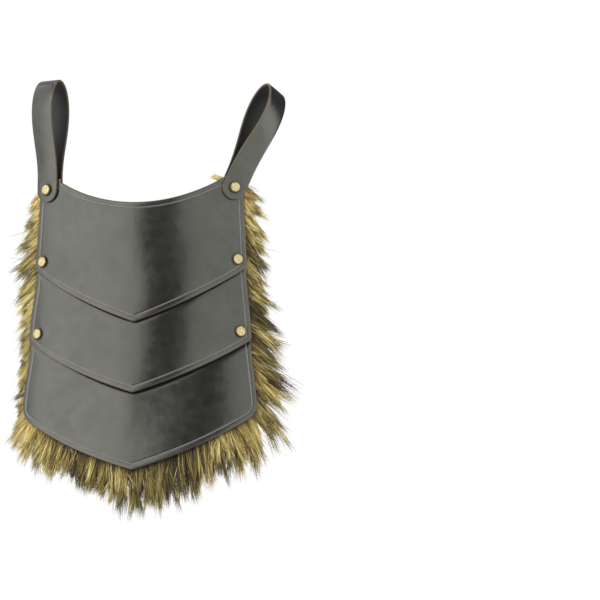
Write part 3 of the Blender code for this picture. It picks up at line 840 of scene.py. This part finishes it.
def strand_paths(locks, per_lock, chance):
    """(points of each ring and tip, direction across, normal, lock values) of every strand."""
    values = {key: np.repeat([lock[key] for lock in locks], per_lock) for key in locks[0]}
    count = len(locks) * per_lock
    _, sideways, down, normal = form_frame(values["across"], values["drop"])
    start = form_point(values["across"], values["drop"], values["out"])
    loose = chance.random(count) < LOOSE_STRANDS
    fan, lean, bend = [
        values[key] + chance.normal(0, stray, count) + loose * chance.normal(0, loose_stray, count)
        for key, stray, loose_stray in zip(("fan", "lean", "bend"), STRAND_STRAY, LOOSE_STRAY)
    ]
    fan, bend = np.radians(fan), np.radians(bend)
    lean = np.radians(np.clip(lean, *LEAN_LIMITS))
    spot = values["spot"] = chance.uniform(-1, 1, count)
    length = values["reach"] * chance.uniform(SHORTEST_STRAND, 1.0, count) ** (0.5 + spot ** 2)
    level = chance.uniform(-0.5, 0.5, count) * LOCK_DEPTH
    inset = chance.uniform(*ROOT_INSETS, count) * MM

    # Each strand runs down from its root inside the rim; strands close up towards the lock's point.
    places = STRAND_PLACES
    middles = (places[1:] + places[:-1]) / 2
    headings = fan[:, None] + bend[:, None] * (middles - BEND_FROM)[None]
    spans = np.diff(places)[None] * (length + inset)[:, None]
    flat_x, flat_y = [
        np.cumsum(np.concatenate([-(part(fan) * inset)[:, None], part(headings) * spans], 1), 1)
        for part in (np.sin, np.cos)
    ]
    reached = np.clip(places[None] * (length / values["reach"])[:, None], 0, 1)
    width = 1 - values["gather"][:, None] * reached ** GATHER_POWER
    aside = spot[:, None] * values["breadth"][:, None] / 2 * width
    aside += chance.normal(0, WANDER, count)[:, None] * places[None]
    flat_x += np.cos(fan)[:, None] * aside
    flat_y -= np.sin(fan)[:, None] * aside
    rise = np.sin(lean)[:, None] * places[None] ** LEAN_POWER * length[:, None] + level[:, None] * width
    points = (
        start[:, None]
        + sideways[:, None] * flat_x[..., None]
        + down[:, None] * flat_y[..., None]
        + normal[:, None] * rise[..., None]
    )
    broad = sideways * np.cos(fan)[:, None] - down * np.sin(fan)[:, None]
    return points, broad, normal, values


def make_strands(name, locks, per_lock, chance, material):
    """Every strand of the locks as one mesh of pointed three-sided hairs."""
    points, broad, normal, values = strand_paths(locks, per_lock, chance)
    count, rings = len(points), len(RING_WIDTHS)
    thick = STRAND_WIDTH / 2 * np.array(RING_WIDTHS)[None] * chance.uniform(*STRAND_WIDTHS, count)[:, None]
    start = chance.uniform(0, 2 * math.pi / 3, count)
    angle = start[:, None] + np.array((0, 1, 2))[None] * 2 * math.pi / 3
    around = np.cos(angle)[..., None] * broad[:, None] + np.sin(angle)[..., None] * normal[:, None]
    ring_points = points[:, :rings, None] + around[:, None] * thick[:, :, None, None]
    vertices = np.concatenate([ring_points.reshape(count, -1, 3), points[:, -1:]], 1)
    per_strand = 3 * rings + 1
    faces = [(0, 2, 1)]
    for r in range(rings - 1):
        for k in range(3):
            here, after = 3 * r + k, 3 * r + (k + 1) % 3
            faces += [(here, after, after + 3), (here, after + 3, here + 3)]
    faces += [(3 * rings - 3 + k, 3 * rings - 3 + (k + 1) % 3, per_strand - 1) for k in range(3)]
    triangles = (np.array(faces)[None] + np.arange(count)[:, None, None] * per_strand).reshape(-1, 3)

    mesh = bpy.data.meshes.new(name)
    mesh.vertices.add(count * per_strand)
    mesh.vertices.foreach_set("co", vertices.reshape(-1).astype(np.float32))
    mesh.loops.add(triangles.size)
    mesh.loops.foreach_set("vertex_index", triangles.reshape(-1).astype(np.int32))
    mesh.polygons.add(len(triangles))
    mesh.polygons.foreach_set("loop_start", np.arange(0, triangles.size, 3, dtype=np.int32))
    mesh.update(calc_edges=True)
    colours = strand_colours(values, chance)
    per_vertex = np.concatenate([np.repeat(colours[:, :rings], 3, axis=1), colours[:, -1:]], 1)
    opaque = np.ones((count * per_strand, 1))
    per_vertex = np.concatenate([per_vertex.reshape(-1, 3), opaque], 1)
    layer = mesh.color_attributes.new("hair_colour", "FLOAT_COLOR", "POINT")
    layer.data.foreach_set("color", per_vertex.ravel().astype(np.float32))
    return place_mesh(name, mesh, material)


# Materials.

# The waxed leather's dark cut-edge brown is partly painted shade on edges that face down.
LEATHERS = rows_of(
    ("name", "base", "edge", "edge_width", "gloss"),
    ("waxed_leather", (0.0066, 0.0066, 0.0070), (0.030, 0.019, 0.013), 0.6, 0.69),
    ("strap_leather", (0.0085, 0.0088, 0.0088), (0.085, 0.052, 0.028), 0.7, 0.69),
    ("strap_inner_side", (0.0085, 0.0090, 0.0088), (0.085, 0.052, 0.028), 0.7, 0.33),
)
BORDER_TINT = (0.040, 0.027, 0.024)
# Paler tooled line, partly a painted highlight.
GROOVE_HIGHLIGHT_TINT = (0.13, 0.13, 0.125)
REFLECTIONS = ((0.80, 0.80, 0.69), (1.0, 1.0, 0.86))  # dullest and clearest
BRASS = ((0.30, (0.24, 0.19, 0.085)), (0.52, (0.40, 0.34, 0.18)), (0.75, (0.50, 0.44, 0.27)))
# Dark in the caps' rim: partly patina, partly painted shade.
PATINA_AND_SHADE = (0.035, 0.024, 0.011)
PATINA_AND_SHADE_SHARES = ((0.0, 0.0), (0.74, 0.04), (0.83, 0.97), (0.92, 0.80), (1.0, 0.98))  # by radius
HAIR_SHADE = (0.05, 0.036, 0.018)
CLOTH_COLOURS = ((0.12, 0.088, 0.052), (0.27, 0.205, 0.13))
CLOTH_FLECK = (0.34, 0.27, 0.18)
# Painted shade in the hollows of the knit.
CLOTH_HOLLOW_SHADE = (0.05, 0.036, 0.022)
FLOOR_COLOURS = ((0.3, (0.86, 0.86, 0.86)), (0.7, (0.90, 0.90, 0.90)))
# Noises as scale per metre, detail and roughness.
SMUDGES = (30.0, 4.0, 0.6)
BLOTCHES = (95.0, 3.0, 0.55)
GRAIN = (620.0, 4.0, 0.6)
SCUFFS = (1.0, 5.0, 0.65)
SCUFF_SCALE = (22.0, 22.0, 260.0)
TARNISH = (520.0, 5.0, 0.65)
BRUSHING = (3200.0, 3.0, 0.6)
STREAKS = (900.0, 2.0, 0.5)
PATCHES = (60.0, 4.0, 0.6)
FLECKS = (380.0, 3.0, 0.6)
NAP = (1900.0, 4.0, 0.7)
FLOOR_GRAIN = (40.0, 3.0, 0.5)
WALES, COURSES = 105.0, 130.0  # scales of the cloth's knit


def set_inputs(tree, node, inputs):
    """Links a node's inputs to sockets, or sets them to values."""
    for key, value in inputs.items():
        socket = node.inputs[key]
        if isinstance(value, bpy.types.NodeSocket):
            tree.links.new(value, socket)
        elif socket.type == "RGBA" and len(value) == 3:
            socket.default_value = (*value, 1.0)
        else:
            socket.default_value = value


def add_node(tree, kind, inputs=None, **settings):
    node = tree.nodes.new("ShaderNode" + kind)
    for key, value in settings.items():
        setattr(node, key, value)
    set_inputs(tree, node, inputs or {})
    return node


class Look:
    """A material, with short names for the nodes that it is made of."""

    def __init__(self, name):
        self.material = bpy.data.materials.new(name)
        self.material.use_nodes = True
        self.tree = self.material.node_tree
        self.place = self.node("TexCoord").outputs["Object"]

    def node(self, kind, inputs=None, **settings):
        return add_node(self.tree, kind, inputs, **settings)

    def finish(self, inputs):
        set_inputs(self.tree, self.tree.nodes["Principled BSDF"], inputs)
        return self.material

    def noise(self, kind, place=None):
        scale, detail, roughness = kind
        values = {"Vector": place or self.place, "Scale": scale, "Detail": detail, "Roughness": roughness}
        return self.node("TexNoise", values).outputs["Fac"]

    def wave(self, scale, axis):
        values = {"Vector": self.place, "Scale": scale, "Distortion": 0.9, "Detail": 1, "Detail Scale": 2}
        return self.node("TexWave", values, bands_direction=axis).outputs["Fac"]

    def ramp(self, factor, stops):
        """A colour ramp of (place, colour) stops."""
        node = self.node("ValToRGB", {"Fac": factor})
        elements = node.color_ramp.elements
        while len(elements) < len(stops):
            elements.new(0.5)
        for element, (place, colour) in zip(elements, stops):
            element.position = place
            element.color = (*colour, 1.0)
        return node.outputs["Color"]

    def span(self, value, start, end, low, high):
        """Low where the value is at start, high where it is at end, and level past them."""
        values = {"Value": value, "From Min": start, "From Max": end, "To Min": low, "To Max": high}
        return self.node("MapRange", values).outputs["Result"]

    def times(self, first, second):
        return self.node("Math", {0: first, 1: second}, operation="MULTIPLY").outputs[0]

    def plus(self, first, second):
        return self.node("Math", {0: first, 1: second}, operation="ADD").outputs[0]

    def mix(self, factor, first, second):
        values = {0: factor, 6: first, 7: second}
        return self.node("Mix", values, data_type="RGBA").outputs[2]

    def attribute(self, name, output="Fac"):
        return self.node("Attribute", attribute_name=name).outputs[output]

    def bump(self, height, distance, strength, under=None):
        values = {"Height": height, "Distance": distance, "Strength": strength}
        if under:
            values["Normal"] = under
        return self.node("Bump", values).outputs["Normal"]


def leather_material(kind):
    """Waxed leather: fine pores, faint smudges and scuffs, cloudy reflections and burnished cut edges,
    whose dark brown on the lames is partly painted shade.
    """
    look = Look(kind["name"])
    smudges, blotches, grain = look.noise(SMUDGES), look.noise(BLOTCHES), look.noise(GRAIN)
    stretched = look.node("Mapping", {"Vector": look.place, "Scale": SCUFF_SCALE})
    scuffs = look.noise(SCUFFS, stretched.outputs["Vector"])
    flesh = look.attribute("flesh")

    def tinted(share):
        return tuple(share * part for part in kind["base"])

    colour = look.mix(look.span(smudges, 0.35, 0.72, 0.0, 0.7), tinted(1.0), tinted(1.7))
    colour = look.mix(look.span(scuffs, 0.60, 0.80, 0.0, 0.2), colour, tinted(2.2))
    colour = look.mix(look.times(look.attribute("border"), 0.55), colour, BORDER_TINT)
    # The tooled line is lightened: partly paler leather, partly a painted highlight.
    colour = look.mix(look.times(look.attribute("groove"), 0.9), colour, GROOVE_HIGHLIGHT_TINT)
    worn = tuple(0.4 * part for part in kind["edge"])
    edge = look.mix(look.span(grain, 0.35, 0.65, 0.0, 0.7), kind["edge"], worn)
    cut = look.span(look.attribute("edge"), 0.35 * kind["edge_width"], kind["edge_width"], 1.0, 0.0)
    # Cut edges take the edge colour; on the lames its darkness is partly painted shade.
    colour = look.mix(cut, colour, edge)
    colour = look.mix(look.times(flesh, 0.6), colour, tinted(1.3))

    rough = look.span(smudges, 0.3, 0.75, 0.18, 0.24)
    rough = look.plus(rough, look.span(blotches, 0.35, 0.7, 0.0, 0.05))
    rough = look.plus(rough, look.span(scuffs, 0.55, 0.8, 0.0, 0.05))
    for dull in (cut, flesh, look.attribute("halo")):
        rough = look.plus(rough, look.times(dull, 0.3))

    cloudy = look.plus(look.plus(smudges, blotches), look.times(grain, 0.6))
    relief = look.bump(grain, 0.12 * MM, 0.16)
    relief = look.bump(blotches, 0.6 * MM, 0.16, relief)
    relief = look.bump(smudges, 1.6 * MM, 0.10, relief)
    return look.finish({
        "Base Color": colour,
        "Roughness": rough,
        "Specular IOR Level": kind["gloss"],
        "Specular Tint": look.mix(look.span(cloudy, 1.02, 1.58, 0.0, 1.0), *REFLECTIONS),
        "Normal": look.bump(look.attribute("bend"), 1.0, 1.0, relief),
    })


def brass_material():
    """Brass caps, brushed and pale, with a dark rim that is partly patina and partly painted shade."""
    look = Look("rivet_brass")
    tarnish = look.noise(TARNISH)
    # The rim is darkened: partly patina, partly painted shade.
    dark = look.ramp(look.attribute("rim"), [(place, (share,) * 3) for place, share in PATINA_AND_SHADE_SHARES])
    relief = look.bump(tarnish, 0.3 * MM, 0.25)
    return look.finish({
        "Base Color": look.mix(dark, look.ramp(tarnish, BRASS), PATINA_AND_SHADE),
        "Metallic": 1.0,
        "Roughness": look.span(tarnish, 0.3, 0.8, 0.58, 0.46),
        "Normal": look.bump(look.noise(BRUSHING), 0.06 * MM, 0.25, relief),
    })


def hair_material():
    """Long hair whose colour runs along each strand, with a soft gloss."""
    look = Look("fur_hair")
    streaks = look.span(look.noise(STREAKS), 0.3, 0.75, 0.0, 0.35)
    return look.finish({
        "Base Color": look.mix(streaks, look.attribute("hair_colour", "Color"), HAIR_SHADE),
        "Roughness": 0.52,
        "Specular IOR Level": 0.26,
        "Sheen Weight": 0.05,
        "Sheen Roughness": 0.5,
    })


def cloth_material():
    """The knitted backing of the fur, with a soft nap and painted shade in the knit's hollows."""
    look = Look("fur_cloth")
    knit = look.times(look.wave(WALES, "X"), look.wave(COURSES, "Z"))
    colour = look.mix(look.span(look.noise(PATCHES), 0.3, 0.7, 0.0, 1.0), *CLOTH_COLOURS)
    colour = look.mix(look.span(look.noise(FLECKS), 0.42, 0.68, 0.0, 0.55), colour, CLOTH_FLECK)
    relief = look.bump(knit, 0.6 * MM, 0.6)
    return look.finish({
        # The knit's hollows are darkened as painted shade.
        "Base Color": look.mix(look.span(knit, 0.0, 0.5, 0.75, 0.0), colour, CLOTH_HOLLOW_SHADE),
        "Roughness": 0.95,
        "Sheen Weight": 0.35,
        "Normal": look.bump(look.noise(NAP), 0.4 * MM, 0.5, relief),
    })


def floor_material():
    look = Look("studio_floor")
    radius = look.node("VectorMath", {0: look.place}, operation="LENGTH").outputs["Value"]
    return look.finish({
        "Base Color": look.ramp(look.noise(FLOOR_GRAIN), FLOOR_COLOURS),
        "Roughness": 0.8,
        "Alpha": look.span(radius, *FLOOR_FADE, 1.0, 0.0),
    })


# The studio.


def direction(azimuth, elevation):
    """Towards a place this far round from the front and this far up, in degrees."""
    azimuth, elevation = math.radians(azimuth), math.radians(elevation)
    level = math.cos(elevation)
    return Vector((math.sin(azimuth) * level, -math.cos(azimuth) * level, math.sin(elevation)))


def make_camera():
    back = direction(VIEW_AZIMUTH, VIEW_ELEVATION)
    right = direction(VIEW_AZIMUTH + 90.0, 0.0)
    up = back.cross(right)
    tip = Vector(form_point(0.0, BODY_DROP, 0.0))
    shift = Vector(CENTRE_IN_VIEW) - Vector(TIP_IN_VIEW)
    middle = tip + right * shift.x - up * shift.y
    camera = bpy.data.cameras.new("camera")
    camera.sensor_width = 36.0
    camera.lens = camera.sensor_width * VIEW_DISTANCE / VIEW_WIDTH
    camera.clip_end = 100.0
    obj = add_object("camera", camera)
    obj.location = middle + back * VIEW_DISTANCE
    aim = middle + right * (VIEW_WIDTH / 2 - CENTRE_IN_VIEW[0])
    obj.rotation_euler = (obj.location - aim).to_track_quat("Z", "Y").to_euler()
    bpy.context.scene.camera = obj


def make_softbox(box):
    """A rectangular light that faces the tasset."""
    light = bpy.data.lights.new(box["name"], "AREA")
    light.shape = "RECTANGLE"
    light.size, light.size_y = box["width"], box["height"]
    light.energy = box["power"]
    obj = add_object(box["name"], light)
    towards = direction(box["azimuth"], box["elevation"])
    obj.location = Vector(LIT_PLACE) + towards * box["distance"]
    turn = Matrix.Rotation(math.radians(box["roll"]), 3, "Z")
    obj.rotation_euler = (towards.to_track_quat("Z", "Y").to_matrix() @ turn).to_euler()


def make_world():
    """A white backdrop to the camera, and a dim grey one for light and reflections."""
    world = bpy.data.worlds.new("studio")
    world.use_nodes = True
    tree = world.node_tree
    tree.nodes.clear()
    seen = add_node(tree, "Background", {"Color": (1, 1, 1, 1), "Strength": 1.0})
    lit = add_node(tree, "Background", {"Color": (0.93, 0.96, 1.0, 1), "Strength": AMBIENT})
    ray = add_node(tree, "LightPath").outputs["Is Camera Ray"]
    values = {0: ray, 1: lit.outputs[0], 2: seen.outputs[0]}
    mixed = add_node(tree, "MixShader", values).outputs[0]
    add_node(tree, "OutputWorld", {"Surface": mixed})
    bpy.context.scene.world = world


def make_floor(level):
    bm = bmesh.new()
    bmesh.ops.create_circle(bm, cap_ends=True, segments=96, radius=FLOOR_RADIUS)
    mesh = bpy.data.meshes.new("floor")
    bm.to_mesh(mesh)
    bm.free()
    mesh.materials.append(floor_material())
    floor = add_object("floor", mesh)
    floor.location = (0, 0, level)
    floor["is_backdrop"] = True


def dress(piece, node):
    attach(piece, "root")
    if node:
        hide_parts(node)


def main():
    bpy.context.scene.view_settings.view_transform = "Standard"
    make_camera()
    make_world()
    for box in SOFTBOXES:
        make_softbox(box)

    leather, strap, strap_inner = [leather_material(kind) for kind in LEATHERS]
    brass = brass_material()
    hair = hair_material()
    for index, lame in enumerate(LAMES):
        dress(make_lame(index, leather), lame["name"])
    for loop in LOOPS:
        dress(make_loop(loop, strap, strap_inner), loop["name"])
    for level, row in enumerate(("shoulder", "upper", "lower")):
        for side, hand in ((-1, "left"), (1, "right")):
            node = f"{row}_rivet_{hand}"
            dress(make_rivet(node + "_turned", level, side, brass), node)

    chance = np.random.default_rng(FUR_SEED)
    per_lock = STRANDS_IN_LOCK
    hairs = [
        make_strands(name, rim_locks(edge, chance), per_lock, chance, hair)
        for edge, name in enumerate(("fur_left", "fur_lower_left", "fur_lower_right", "fur_right"))
    ]
    hairs.append(make_strands("fur_tufts", tuft_locks(chance), STRANDS_IN_TUFT, chance, hair))
    for piece in hairs:
        dress(piece, None)
    backing, flat, area = make_backing(cloth_material())
    dress(backing, "fur_backing")
    make_floor(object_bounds()[0][2] - FLOOR_DROP)


main()
